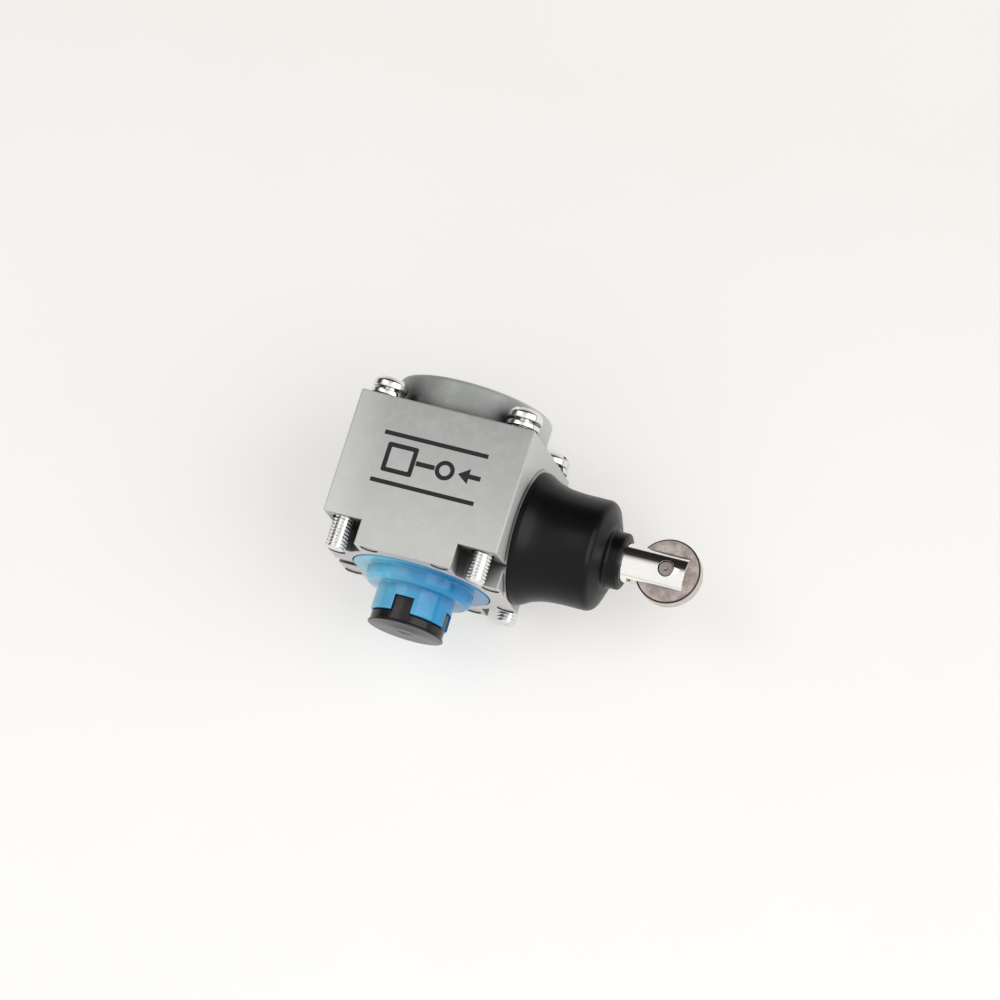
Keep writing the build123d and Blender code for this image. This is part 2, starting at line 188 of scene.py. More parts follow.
def block(name, lo, hi):
    xs, ys, zs = zip(lo, hi)
    verts = [(x, y, z) for x in xs for y in ys for z in zs]
    faces = [(0, 1, 3, 2), (4, 6, 7, 5), (0, 4, 5, 1), (2, 3, 7, 6), (0, 2, 6, 4), (1, 5, 7, 3)]
    return new_object(name, verts, faces)


def prism(name, outline, z0, z1, plane="xy"):
    """A closed outline of 2D points, straight up from z0 to z1 across its plane."""
    n = len(outline)
    pick = {"xy": lambda p, z: (p[0], p[1], z), "xz": lambda p, z: (p[0], z, p[1]), "yz": lambda p, z: (z, p[0], p[1])}[plane]
    verts = [pick(p, z) for z in (z0, z1) for p in outline]
    faces = [list(range(n)), list(range(n, 2 * n))]
    faces += [(i, (i + 1) % n, n + (i + 1) % n, n + i) for i in range(n)]
    return new_object(name, verts, faces)


def apply_modifiers(obj):
    bpy.context.view_layer.update()
    dg = bpy.context.evaluated_depsgraph_get()
    mesh = bpy.data.meshes.new_from_object(obj.evaluated_get(dg))
    obj.modifiers.clear()
    old, obj.data = obj.data, mesh
    bpy.data.meshes.remove(old)


def boolean(obj, tools, op="DIFFERENCE"):
    for tool in tools:
        m = obj.modifiers.new("cut", "BOOLEAN")
        m.operation, m.object, m.solver = op, tool, "EXACT"
        apply_modifiers(obj)
        bpy.data.objects.remove(tool)
    fix_normals(obj)


def bevel(obj, width, segments=3, angle=40):
    m = obj.modifiers.new("bevel", "BEVEL")
    m.width, m.segments, m.limit_method, m.angle_limit = width, segments, "ANGLE", math.radians(angle)
    m.harden_normals = False
    apply_modifiers(obj)


def soften(obj, angle=35, weighted=False):
    for p in obj.data.polygons:
        p.use_smooth = True
    obj.data.set_sharp_from_angle(angle=math.radians(angle))
    if weighted:
        m = obj.modifiers.new("weighted", "WEIGHTED_NORMAL")
        m.keep_sharp, m.weight = True, 100
        apply_modifiers(obj)


def done(obj, body, material, slot, *nodes, blend=None):
    """The mesh is final: to metres, material, body; with blend, its transform is baked instead and it gets no body."""
    obj.data.transform(Matrix.Scale(MM, 4))
    obj.data.materials.clear()
    obj.data.materials.append(material)
    if blend:
        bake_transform(obj)
    else:
        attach(obj, body)
    if nodes:
        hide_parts(*nodes)
    return obj


# ----------------------------------------------------------------------------- material helpers
class Mat:
    def __init__(self, name, color, rough, metal=0.0, **sockets):
        self.mat = bpy.data.materials.new(name)
        self.mat.use_nodes = True
        self.nt = self.mat.node_tree
        self.bsdf = self.nt.nodes["Principled BSDF"]
        self.set("Base Color", (*color, 1))
        self.set("Roughness", rough)
        self.set("Metallic", metal)
        for k, v in sockets.items():
            self.set(k.replace("_", " "), v)
        source = self.node("ShaderNodeTexCoord")
        self.coord = source.outputs["Object"]
        self.facing = source.outputs["Normal"]
        self.normal_in = None

    def set(self, socket, value):
        self.bsdf.inputs[socket].default_value = value

    def node(self, kind, **props):
        n = self.nt.nodes.new(kind)
        for k, v in props.items():
            setattr(n, k, v)
        return n

    def link(self, a, b):
        self.nt.links.new(a, b)

    def value(self, x):
        return x

    def put(self, socket, source):
        if isinstance(source, (int, float)):
            socket.default_value = source
        elif isinstance(source, tuple):
            socket.default_value = (*source, 1) if len(source) == 3 and socket.type == "RGBA" else source
        else:
            self.link(source, socket)

    def noise(self, size_mm, detail=4.0, rough=0.55, stretch=None, distort=0.0):
        """Noise from 0 to 1 with features about size_mm across."""
        n = self.node("ShaderNodeTexNoise")
        n.inputs["Scale"].default_value = 1.0 / (size_mm * MM)
        n.inputs["Detail"].default_value = detail
        n.inputs["Roughness"].default_value = rough
        n.inputs["Distortion"].default_value = distort
        source = self.coord
        if stretch:
            m = self.node("ShaderNodeMapping")
            m.inputs["Scale"].default_value = stretch
            self.link(source, m.inputs["Vector"])
            source = m.outputs["Vector"]
        self.link(source, n.inputs["Vector"])
        return n.outputs["Fac"]

    def specks(self, cell_mm, size):
        """Sparse round specks: 1 inside a speck, 0 outside."""
        v = self.node("ShaderNodeTexVoronoi")
        v.inputs["Scale"].default_value = 1.0 / (cell_mm * MM)
        self.link(self.coord, v.inputs["Vector"])
        return self.math("LESS_THAN", v.outputs["Distance"], size)

    def math(self, op, a, b=0.0, c=0.0):
        n = self.node("ShaderNodeMath", operation=op)
        for s, x in zip(n.inputs, (a, b, c)):
            self.put(s, x)
        return n.outputs[0]

    def ramp(self, source, lo, hi, out_lo=0.0, out_hi=1.0, smooth=True):
        n = self.node("ShaderNodeMapRange", interpolation_type="SMOOTHSTEP" if smooth else "LINEAR")
        self.put(n.inputs["Value"], source)
        for k, x in (("From Min", lo), ("From Max", hi), ("To Min", out_lo), ("To Max", out_hi)):
            n.inputs[k].default_value = x
        return n.outputs["Result"]

    def mix(self, fac, a, b):
        n = self.node("ShaderNodeMix", data_type="RGBA")
        self.put(n.inputs[0], fac)
        self.put(n.inputs[6], a)
        self.put(n.inputs[7], b)
        return n.outputs[2]

    def axis(self, which, source=None):
        n = self.node("ShaderNodeSeparateXYZ")
        self.link(source or self.coord, n.inputs[0])
        return n.outputs[which]

    def painted_corner_shade(self, reach_mm, lo, hi, dark):
        """Painted shade: from dark in tight corners to 1 in the open, read from ambient occlusion."""
        n = self.node("ShaderNodeAmbientOcclusion", samples=8)
        n.inputs["Distance"].default_value = reach_mm * MM
        return self.ramp(n.outputs["AO"], lo, hi, dark, 1.0)

    def bump(self, height, depth_mm, strength=1.0):
        n = self.node("ShaderNodeBump")
        n.inputs["Strength"].default_value = strength
        n.inputs["Distance"].default_value = depth_mm * MM
        self.put(n.inputs["Height"], height)
        if self.normal_in is not None:
            self.link(self.normal_in, n.inputs["Normal"])
        self.normal_in = n.outputs["Normal"]
        self.link(self.normal_in, self.bsdf.inputs["Normal"])

    def color(self, source):
        self.link(source, self.bsdf.inputs["Base Color"])

    def rough(self, source):
        self.link(source, self.bsdf.inputs["Roughness"])


# ----------------------------------------------------------------------------- materials
# grey-green satin paint on the casting; the mounting face is bare machined metal
paint = Mat("grey_paint", (0.42, 0.445, 0.43), 0.36)
fine = paint.noise(0.35, 3.0, 0.5)
broad = paint.noise(11.0, 4.0, 0.55)
y = paint.axis("Y")
bare = paint.math("MULTIPLY", paint.math("LESS_THAN", y, 0.0008), paint.math("LESS_THAN", paint.axis("Y", paint.facing), -0.7))
tone = paint.mix(broad, (0.43, 0.445, 0.43), (0.465, 0.475, 0.455))
# painted shade: on faces turned to the label side the colour goes from light near the mounting face to dark towards the
# boss, standing in for the light falling off across the label face
up = paint.ramp(paint.axis("Z", paint.facing), 0.2, 1.0)
label = paint.mix(paint.ramp(y, 0.004, 0.040, smooth=False), (0.475, 0.475, 0.455), (0.235, 0.245, 0.238))
mottle = paint.math("MULTIPLY", paint.ramp(paint.noise(3.2, 7.0, 0.68), 0.40, 0.72), 0.12)
label = paint.mix(mottle, label, (0.72, 0.73, 0.71))
# painted highlight: the label colour lighter along the face's left edge
label = paint.mix(paint.ramp(paint.axis("X"), -0.021, -0.012), paint.mix(0.22, label, (0.85, 0.85, 0.82)), label)
tone = paint.mix(up, tone, paint.mix(0.12, label, tone))
tone = paint.mix(paint.specks(5.2, 0.02), tone, (0.12, 0.11, 0.11))
# painted shade: the colour goes nearly black in corners, recesses and close to other parts; the lower +X face beside
# the boot gets the deep, wide shade, a painted shadow of the boot, the upper +X face only a lighter, narrower one
outer = paint.math("MULTIPLY", paint.math("GREATER_THAN", paint.axis("X"), 0.0203), paint.ramp(y, 0.0235, 0.0275))
deep_shade = paint.mix(paint.painted_corner_shade(8.0, 0.42, 0.97, 0.0), (0.020, 0.020, 0.0195), tone)
light_shade = paint.mix(paint.painted_corner_shade(4.0, 0.20, 0.72, 0.0), (0.030, 0.030, 0.029), tone)
tone = paint.mix(outer, deep_shade, light_shade)
streak = paint.noise(0.5, 5.0, 0.6, stretch=(0.12, 1.0, 1.0))
metal_tone = paint.mix(streak, (0.47, 0.445, 0.435), (0.66, 0.635, 0.62))
paint.color(paint.mix(bare, tone, metal_tone))
paint.rough(paint.math("MULTIPLY_ADD", fine, 0.12, 0.30))
paint.bump(fine, 0.007, 0.4)
paint.bump(streak, 0.003, 0.25)

blue = Mat("blue_plastic", (0.04, 0.28, 0.62), 0.16, IOR=1.52)
blue.set("Specular IOR Level", 0.32)
blue.set("Subsurface Weight", 0.30)
blue.set("Subsurface Radius", (0.0004, 0.0011, 0.0022))
blue.set("Subsurface Scale", 1.0)
bn = blue.noise(9.0, 3.0, 0.5, distort=0.4)
deep = blue.mix(blue.ramp(bn, 0.38, 0.66), (0.022, 0.21, 0.43), (0.055, 0.36, 0.60))
clear = blue.mix(blue.ramp(blue.noise(3.0, 5.0, 0.6), 0.52, 0.75), deep, (0.16, 0.53, 0.74))
# painted light: the blue is lighter on its -X side and darker on its +X side, lit and shaded copies of one plastic
painted_lit_blue = blue.mix(0.50, clear, (0.30, 0.78, 0.93))
painted_shaded_blue = blue.mix(0.72, clear, (0.010, 0.17, 0.38))
body = blue.mix(blue.ramp(blue.axis("X"), -0.012, 0.010), painted_lit_blue, painted_shaded_blue)
# painted shade: the blue darkens towards navy in corners and close to other parts
blue.color(blue.mix(blue.painted_corner_shade(4.0, 0.25, 0.85, 0.0), (0.010, 0.085, 0.27), body))
blue.rough(blue.math("MULTIPLY_ADD", blue.noise(0.8, 4.0), 0.14, 0.09))
blue.bump(blue.noise(2.2, 3.0), 0.03, 0.6)

black = Mat("black_plastic", (0.008, 0.007, 0.007), 0.26)
black.set("Specular IOR Level", 0.28)
black.color(black.mix(black.noise(1.2, 5.0), (0.0080, 0.0060, 0.0060), (0.018, 0.0145, 0.0145)))
black.rough(black.math("MULTIPLY_ADD", black.noise(0.5, 4.0), 0.14, 0.18))
black.bump(black.noise(0.25, 4.0), 0.008, 0.5)

rubber = Mat("boot_rubber", (0.004, 0.0036, 0.004), 0.36)
rubber.set("Specular IOR Level", 0.18)
dust = rubber.specks(1.9, 0.024)
rubber.color(rubber.mix(dust, rubber.mix(rubber.noise(5.0, 4.0), (0.0025, 0.0022, 0.0024), (0.0055, 0.0046, 0.0050)), (0.10, 0.095, 0.095)))
rubber.rough(rubber.math("MULTIPLY_ADD", rubber.noise(3.0, 5.0), 0.16, 0.24))
rubber.bump(rubber.noise(0.22, 4.0), 0.008, 0.5)

seal = Mat("seal_rubber", (0.012, 0.012, 0.014), 0.55)
seal.color(seal.mix(seal.noise(0.9, 4.0), (0.008, 0.008, 0.009), (0.018, 0.018, 0.02)))
seal.rough(seal.math("MULTIPLY_ADD", seal.noise(0.5, 4.0), 0.2, 0.45))
seal.bump(seal.noise(0.3, 4.0), 0.01, 0.5)

zinc = Mat("zinc_screw", (0.80, 0.80, 0.79), 0.2, 1.0)
zinc.color(zinc.mix(zinc.noise(1.4, 5.0), (0.74, 0.74, 0.73), (0.90, 0.90, 0.89)))
zinc.rough(zinc.math("MULTIPLY_ADD", zinc.noise(0.5, 5.0), 0.20, 0.14))
zinc.bump(zinc.noise(0.35, 4.0), 0.006, 0.45)

chrome = Mat("chrome_shaft", (0.90, 0.89, 0.86), 0.06, 1.0)
chrome.rough(chrome.math("MULTIPLY_ADD", chrome.noise(0.4, 5.0, stretch=(1.0, 0.1, 0.1)), 0.12, 0.03))
chrome.color(chrome.mix(chrome.noise(3.0, 4.0), (0.86, 0.85, 0.81), (0.95, 0.94, 0.91)))
chrome.bump(chrome.noise(0.25, 3.0, stretch=(1.0, 0.05, 0.05)), 0.002, 0.3)

pin_steel = Mat("pin_steel", (0.30, 0.25, 0.235), 0.42, 0.9)
pin_steel.color(pin_steel.mix(pin_steel.noise(0.6, 5.0), (0.20, 0.165, 0.155), (0.36, 0.31, 0.29)))
pin_steel.rough(pin_steel.math("MULTIPLY_ADD", pin_steel.noise(0.4, 4.0), 0.25, 0.36))
pin_steel.bump(pin_steel.noise(0.3, 4.0), 0.012, 0.6)

sinter = Mat("roller_steel", (0.40, 0.34, 0.30), 0.45, 0.9)
pores = sinter.specks(0.34, 0.17)
patch = sinter.ramp(sinter.noise(2.6, 6.0, 0.6), 0.36, 0.66)
# dull faces with dark pores and a lighter rim; painted shade: a nearly black band on the rounded edges between faces
# and rim
flat = sinter.math("ABSOLUTE", sinter.axis("Z", sinter.facing), 0.0)
dull = sinter.mix(pores, sinter.mix(patch, (0.30, 0.255, 0.23), (0.50, 0.445, 0.41)), (0.17, 0.14, 0.125))
rim = sinter.mix(patch, (0.56, 0.51, 0.475), (0.68, 0.63, 0.60))
rim_and_painted_edge_shade = sinter.mix(sinter.math("GREATER_THAN", flat, 0.25), rim, (0.055, 0.045, 0.042))
sinter.color(sinter.mix(sinter.math("GREATER_THAN", flat, 0.95), rim_and_painted_edge_shade, dull))
sinter.rough(sinter.math("MULTIPLY_ADD", sinter.noise(0.6, 5.0), 0.25, 0.36))
sinter.bump(sinter.noise(0.28, 5.0), 0.012, 0.6)

hard = Mat("hard_steel", (0.42, 0.41, 0.40), 0.3, 1.0)
hard.color(hard.mix(hard.noise(1.5, 5.0), (0.36, 0.35, 0.34), (0.48, 0.47, 0.46)))
hard.rough(hard.math("MULTIPLY_ADD", hard.noise(0.4, 5.0, stretch=(0.1, 1.0, 1.0)), 0.25, 0.2))

bronze = Mat("bronze", (0.50, 0.36, 0.20), 0.45, 1.0)
bronze.color(bronze.mix(bronze.noise(1.0, 5.0), (0.42, 0.30, 0.16), (0.58, 0.42, 0.24)))
bronze.rough(bronze.math("MULTIPLY_ADD", bronze.noise(0.4, 4.0), 0.2, 0.38))

wire = Mat("spring_steel", (0.50, 0.50, 0.50), 0.28, 1.0)
wire.color(wire.mix(wire.noise(0.8, 4.0), (0.42, 0.42, 0.42), (0.58, 0.58, 0.58)))
wire.rough(wire.math("MULTIPLY_ADD", wire.noise(0.4, 4.0), 0.15, 0.2))

ink = Mat("print_ink", (0.015, 0.013, 0.014), 0.6)
ink.set("Specular IOR Level", 0.2)
ink.color(ink.mix(ink.noise(0.4, 5.0), (0.009, 0.008, 0.009), (0.03, 0.027, 0.028)))

SLOTS = {"grey_paint": paint, "blue_plastic": blue, "black_plastic": black, "boot_rubber": rubber,
         "seal_rubber": seal, "zinc_screw": zinc, "chrome_shaft": chrome, "hard_steel": hard,
         "pin_steel": pin_steel, "roller_steel": sinter, "bronze": bronze, "spring_steel": wire}
for part in frame["record"]["subparts"]:
    node = frame["nodes"].get(part["node"])
    if node and part["material_slot"] in SLOTS:
        node.data.materials.clear()
        node.data.materials.append(SLOTS[part["material_slot"]].mat)

# ----------------------------------------------------------------------------- captive screws
PITCH = 0.8


def thread(name, major, minor, y0, y1, centre, segs=80, rows=14):
    """A right-hand thread between heights y0 and y1, its rows running along the helix."""
    n_rows = int((y1 - y0) / PITCH * rows) + 3 * rows
    verts = []
    for j in range(n_rows):
        wave = 0.5 - 0.5 * math.cos(TAU * (j % rows) / rows)
        wave = wave ** 0.8                              # rounded crests, a little wider than the roots
        r = minor + (major - minor) * wave
        for k in range(segs):
            t = TAU * k / segs
            yy = y0 - 1.5 * PITCH + (j / rows + k / segs) * PITCH
            yc = min(max(yy, y0), y1)
            if yy <= y0:
                rr = minor - 0.12
            elif yy < y0 + 0.6:                         # rounded tip
                rr = min(r, minor - 0.12 + (major - minor + 0.12) * math.sqrt((yy - y0) / 0.6))
            else:
                rr = minor if yy > y1 else r
            verts.append((centre[0] + rr * math.cos(t), yc, centre[1] + rr * math.sin(t)))
    faces = []
    for j in range(n_rows - 1):
        for k in range(segs):
            if k < segs - 1:
                faces.append((j * segs + k, j * segs + k + 1, (j + 1) * segs + k + 1, (j + 1) * segs + k))
            elif j + rows + 1 < n_rows:
                faces.append((j * segs + k, (j + rows) * segs, (j + rows + 1) * segs, (j + 1) * segs + k))
    mesh = bpy.data.meshes.new(name)
    mesh.from_pydata(verts, [], faces)
    obj = bpy.data.objects.new(name, mesh)
    bpy.context.scene.collection.objects.link(obj)
    bm = bmesh.new()
    bm.from_mesh(mesh)
    bmesh.ops.remove_doubles(bm, verts=bm.verts, dist=2e-4)
    bmesh.ops.dissolve_degenerate(bm, dist=2e-4, edges=bm.edges)
    rims = [e for e in bm.edges if e.is_boundary]
    bmesh.ops.holes_fill(bm, edges=rims, sides=0)
    bmesh.ops.recalc_face_normals(bm, faces=bm.faces)
    bm.to_mesh(mesh)
    bm.free()
    return obj


def join(parts, name):
    """Several meshes as one object, each shell kept closed."""
    bm = bmesh.new()
    for p in parts:
        bm.from_mesh(p.data)
        bpy.data.objects.remove(p)
    mesh = bpy.data.meshes.new(name)
    bm.to_mesh(mesh)
    bm.free()
    obj = bpy.data.objects.new(name, mesh)
    bpy.context.scene.collection.objects.link(obj)
    return obj


HEAD_Y0, HEAD_Y1 = BODY_TOP + 2.3, S_HI.y
tilts = {(-1, 1): (1.45, 0.2), (1, 1): (-0.1, 0.1), (1, -1): (-0.9, 0.3), (-1, -1): (0.6, 0.3)}
first = True
for (sx, sz), (lean_x, lean_z) in tilts.items():
    c = (sx * SCREW_S, sz * SCREW_S)
    tag = ("left" if sx < 0 else "right") + ("_front" if sz > 0 else "_back")
    head = lathe("head", arcs([(HEAD_Y0, 0), (HEAD_Y0, 3.95), (HEAD_Y0 + 0.5, 4.1), (HEAD_Y0 + 1.5, 4.08), (HEAD_Y1 - 0.1, 3.1), (HEAD_Y1, 0)],
                              [0, 0.3, 0.4, 0.9, 1.1, 0], steps=6), "y", (c[0], 0, c[1]), segs=96, closed=False)
    angle = math.radians({(-1, 1): 20, (1, 1): 65, (1, -1): -30, (-1, -1): 5}[(sx, sz)])
    slot_tool = block("slot", (-5, HEAD_Y1 - 1.15, -0.62), (5, HEAD_Y1 + 2, 0.62))
    slot_tool.data.transform(Matrix.Translation((c[0], 0, c[1])) @ Matrix.Rotation(angle, 4, "Y"))
    boolean(head, [slot_tool])
    bevel(head, 0.12, 2, 50)
    shank = lathe("shank", [(6.0, 0), (6.0, 1.9), (HEAD_Y0 + 0.2, 1.9), (HEAD_Y0 + 0.2, 0)], "y", (c[0], 0, c[1]), segs=48, closed=False)
    screw = join([head, shank, thread("thread", 2.34, 2.02, S_LO.y, 7.5, c)], "captive_screw_" + tag)
    pivot = Matrix.Translation((c[0], S_LO.y, c[1]))     # leans about its foot, to the side of its clearance hole
    lean = Matrix.Rotation(math.radians(-lean_x), 4, "Z") @ Matrix.Rotation(math.radians(lean_z), 4, "X")
    slack = {(-1, 1): (0, -0.45, 0), (1, 1): (0.05, 0, 0), (1, -1): (0.5, -0.5, 0), (-1, -1): (0.3, 1.7, 0)}[(sx, sz)]
    screw.data.transform(Matrix.Translation(slack) @ pivot @ lean @ pivot.inverted())
    soften(screw, 38)
    done(screw, "housing", zinc.mat, "zinc_screw", *(["captive_screws"] if first else []))

    # split lock washer: a turn of square wire, its ends a little apart
    verts, faces, n = [], [], 96
    gap0 = math.radians({(-1, 1): 40, (1, 1): 200, (1, -1): 40, (-1, -1): -70}[(sx, sz)])
    tip = math.radians({(-1, 1): 2.6, (1, 1): -0.9, (1, -1): 0.5, (-1, -1): -0.4}[(sx, sz)])
    high = {(-1, 1): 0.28, (1, 1): 0.46, (1, -1): 0.30, (-1, -1): 0.2}[(sx, sz)]
    shift = {(-1, 1): 0.75, (1, 1): 0.0, (1, -1): 0.2, (-1, -1): 0.3}[(sx, sz)]
    section = arcs([(2.55, 0.0), (3.88, 0.0), (3.88, 1.15), (2.55, 1.15)], [0.2] * 4, steps=3, closed=True)
    m = len(section)
    for k in range(n + 1):
        t = gap0 + (TAU - math.radians(9)) * k / n
        for r, h in section:
            tt = t + math.radians(9) * (h / 1.15)         # the cut runs slantwise
            u = (r * math.cos(tt), r * math.sin(tt))
            rise = 0.32 * (k / n - 0.5) - u[0] * math.sin(tip)
            verts.append((c[0] + shift + u[0], BODY_TOP + high + h + rise, c[1] + u[1]))
    for k in range(n):
        for i in range(m):
            faces.append((k * m + i, k * m + (i + 1) % m, (k + 1) * m + (i + 1) % m, (k + 1) * m + i))
    faces += [list(range(m)), [n * m + i for i in range(m)]]
    washer = new_object("lock_washer_" + tag, verts, faces)
    soften(washer, 45)
    done(washer, "housing", zinc.mat, "zinc_screw", *(["lock_washers"] if first else []))
    first = False

# ----------------------------------------------------------------------------- rubber boot
y0 = AXIS_Y
bx, be = B_LO.x, B_HI.x
outer = [(bx, 15.2), (bx + 0.1, 15.42), (bx + 1.0, 15.42)]
knots = [(bx + 1.0, 15.42), (bx + 2.2, 14.85), (bx + 3.8, 14.05), (bx + 6.2, 13.35), (bx + 8.6, 13.02), (bx + 11.2, 12.90), (bx + 13.8, 12.90), (be - 8.4, 12.90)]
for (xa, ra), (xb, rb), i in zip(knots, knots[1:], range(99)):
    xp, rp = knots[i - 1] if i else (xa - (xb - xa), ra)
    xn, rn = knots[i + 2] if i + 2 < len(knots) else (xb + (xb - xa), rb)
    for k in range(1, 7):
        t = k / 6
        f = lambda p0, p1, p2, p3: 0.5 * ((2 * p1) + (p2 - p0) * t + (2 * p0 - 5 * p1 + 4 * p2 - p3) * t * t + (3 * p1 - p0 - 3 * p2 + p3) * t ** 3)
        outer.append((f(xp, xa, xb, xn), f(rp, ra, rb, rn)))
# round shoulder, neck and collar
outer += arcs([(be - 8.4, 12.90), (be - 5.6, 12.90), (be - 3.6, 8.2), (be - 3.4, 6.62), (be - 0.5, 6.58), (be - 0.02, 5.4), (be - 0.02, 4.75)],
              [0, 2.8, 3.6, 1.0, 0.6, 0.3, 0], steps=10)[1:]
inner = arcs([(be - 0.02, 4.75), (be - 0.2, 4.62), (be - 3.3, 4.62), (be - 4.7, 5.4), (be - 5.9, 8.2), (be - 7.5, 11.0), (bx + 6.2, 11.7), (bx + 3.0, 12.9), (bx, 13.5)],
             [0, 0, 0.3, 1.0, 2.0, 2.5, 3.0, 2.0, 0], steps=5)[1:]
boot = lathe("rubber_boot", outer + inner, "x", (0, y0, 0), segs=192)
soften(boot, 50)
done(boot, "housing", rubber.mat, "boot_rubber", "boot",
     blend=(("housing", "plunger"), ((bx + 2.3) * MM, y0 * MM, 0), ((be - 3.9) * MM, y0 * MM, 0)))

# ----------------------------------------------------------------------------- blue output guide
web0, web1 = -3.4, -2.2
d2 = G_LO.y                       # lower end of the slotted drum
d1 = -3.6
prof = arcs([(web0, 2.7), (web0, 7.3), (d2, 7.3), (d2, 9.1), (d1, 9.05), (d1 + 0.05, 11.7), (d1 + 0.9, 12.6), (-0.15, 12.6),
             (-0.3, 16.2), (2.15, 16.2), (2.15, 12.1), (3.4, 12.1), (3.4, 10.9), (web1, 10.9), (web1, 2.7)],
            [0, 0.2, 0.25, 0.3, 0.35, 0.3, 0.4, 0.5, 0.35, 0, 0, 0, 0, 0, 0], steps=4, closed=True)
guide = lathe("blue_output_guide", prof, "y", segs=192)
tools = []
for a in range(4):
    q = arcs([(6.5, d2 - 1), (11, d2 - 1), (11, -6.3), (6.5, -6.3)], [0, 0, 0, 0], closed=True)
    t = block("cut", (6.0, d2 - 1, -2.35), (11.5, -6.3, 2.35))
    t.data.transform(Matrix.Rotation(a * math.pi / 2, 4, "Y"))
    tools.append(t)
boolean(guide, tools)
bevel(guide, 0.22, 3, 60)
soften(guide, 40)
done(guide, "housing", blue.mat, "blue_plastic", "output_guide")

# ----------------------------------------------------------------------------- thin gasket around the flange
gasket = lathe("flange_gasket", arcs([(0.25, 16.22), (0.25, 16.47), (2.1, 16.47), (2.1, 16.22)], [0.1, 0.1, 0, 0], steps=3, closed=True), "y", segs=160)
soften(gasket, 45)
done(gasket, "housing", seal.mat, "seal_rubber", "guide_gasket")

# ----------------------------------------------------------------------------- black output plunger
ce = C_LO.y
cup = lathe("black_output_plunger", arcs(
    [(ce, 0), (ce, 2.0), (ce - 0.06, 2.15), (ce - 0.06, 2.35), (ce, 2.5), (ce, 8.95), (ce + 0.32, 8.95), (ce + 0.6, 8.62), (d2 - 0.28, 8.6), (d2 - 0.28, 7.25), (-7.0, 7.25),
     (-7.0, 5.6), (ce + 1.6, 5.6), (ce + 1.6, 0)],
    [0, 0, 0, 0, 0, 0.12, 0.12, 0.3, 0.15, 0.1, 0.1, 0.1, 0.1, 0], steps=4), "y", segs=160, closed=False)
teeth = []
for a in range(4):
    half = math.radians(14.0)
    tooth = lathe("tooth", [(d2 - 0.9, 6.4), (d2 - 0.9, 8.62), (-6.52, 8.62), (-6.52, 6.4)], "y", segs=16,
                  a0=a * math.pi / 2 - half, a1=a * math.pi / 2 + half)
    teeth.append(tooth)
boolean(cup, teeth, "UNION")
bevel(cup, 0.16, 3, 60)
soften(cup, 40)
done(cup, "output", black.mat, "black_plastic", "output_plunger")

# ----------------------------------------------------------------------------- plunger shaft with the clevis
end = P_HI.x
shaft = lathe("plunger_rod", arcs(
    [(P_LO.x, 0), (P_LO.x, 2.6), (P_LO.x + 0.4, 3.0), (8.0, 3.0), (8.0, SHAFT_R), (end, SHAFT_R), (end, 0)],
    [0, 0, 0, 0, 0, 0, 0], steps=5), "x", (0, AXIS_Y, 0), segs=144, closed=False)
slot_root = 46.4
tools = [block("slot", (slot_root, AXIS_Y - 9, -2.15), (end + 5, AXIS_Y + 9, 2.15)),
         lathe("bore", [(-9, 0), (-9, 1.9), (9, 1.9), (9, 0)], "z", (PIN_X, AXIS_Y, 0), segs=64, closed=False)]
boolean(shaft, tools)
bevel(shaft, 0.28, 4, 50)
soften(shaft, 35)
done(shaft, "plunger", chrome.mat, "chrome_shaft", "plunger_shaft")

# ----------------------------------------------------------------------------- roller, pin
pin_z = PIN_HI.z
pin = lathe("clevis_pin", arcs(
    [(-pin_z, 0), (-pin_z, 1.72), (pin_z, 1.72), (pin_z, 0.5), (pin_z - 0.18, 0.28), (pin_z - 0.2, 0)],
    [0, 0.22, 0.22, 0.1, 0.1, 0], steps=4), "z", (PIN_X, AXIS_Y, 0), segs=64, closed=False)
soften(pin, 40)
done(pin, "plunger", pin_steel.mat, "pin_steel", "roller_pin")

rt, rr = (R_HI.z - R_LO.z) / 2, (R_HI.x - R_LO.x) / 2
wheel = lathe("roller_wheel", arcs(
    [(-rt, 2.75), (-rt, rr - 0.36), (-rt + 0.34, rr), (rt - 0.34, rr), (rt, rr - 0.36), (rt, 2.75)],
    [0.1, 0.1, 0.1, 0.1, 0.1, 0.1], steps=4, closed=True), "z", (PIN_X, AXIS_Y, 0), segs=192)
soften(wheel, 40)
done(wheel, "roller", sinter.mat, "roller_steel", "roller")

# ----------------------------------------------------------------------------- return springs, with closed end coils
def coil_spring(name, node, axis, wire_r, turns, moving, origin):
    lo, hi = mm_box(node)
    k = "xyz".index(axis)
    radius = (hi.z - lo.z) / 2 - wire_r
    a0, a1 = lo[k] + wire_r, hi[k] - wire_r
    steps, ring = int(turns * 44), 12
    verts, faces = [], []
    for i in range(steps + 1):
        u = i / steps
        along = a0 + (a1 - a0) * (0.35 * u + 0.65 * u * u * (3 - 2 * u))
        th = TAU * turns * u
        for j in range(ring):
            q = TAU * j / ring
            r = radius + wire_r * math.cos(q)
            verts.append(place(along + wire_r * math.sin(q), r * math.cos(th), r * math.sin(th), axis, origin))
    for i in range(steps):
        for j in range(ring):
            m = (j + 1) % ring
            faces.append((i * ring + j, i * ring + m, (i + 1) * ring + m, (i + 1) * ring + j))
    faces += [tuple(range(ring)), tuple(steps * ring + j for j in range(ring))]
    spring = new_object(name, verts, faces)
    soften(spring, 50)
    start, end = [c * MM for c in origin], [c * MM for c in origin]
    start[k], end[k] = a0 * MM, a1 * MM
    done(spring, "housing", wire.mat, "spring_steel", node, blend=(("housing", moving), tuple(start), tuple(end)))


coil_spring("plunger_return_spring", "plunger_spring", "x", 0.35, 8, "plunger", (0, AXIS_Y, 0))
coil_spring("output_return_spring", "output_spring", "y", 0.28, 4, "output", (0, 0, 0))

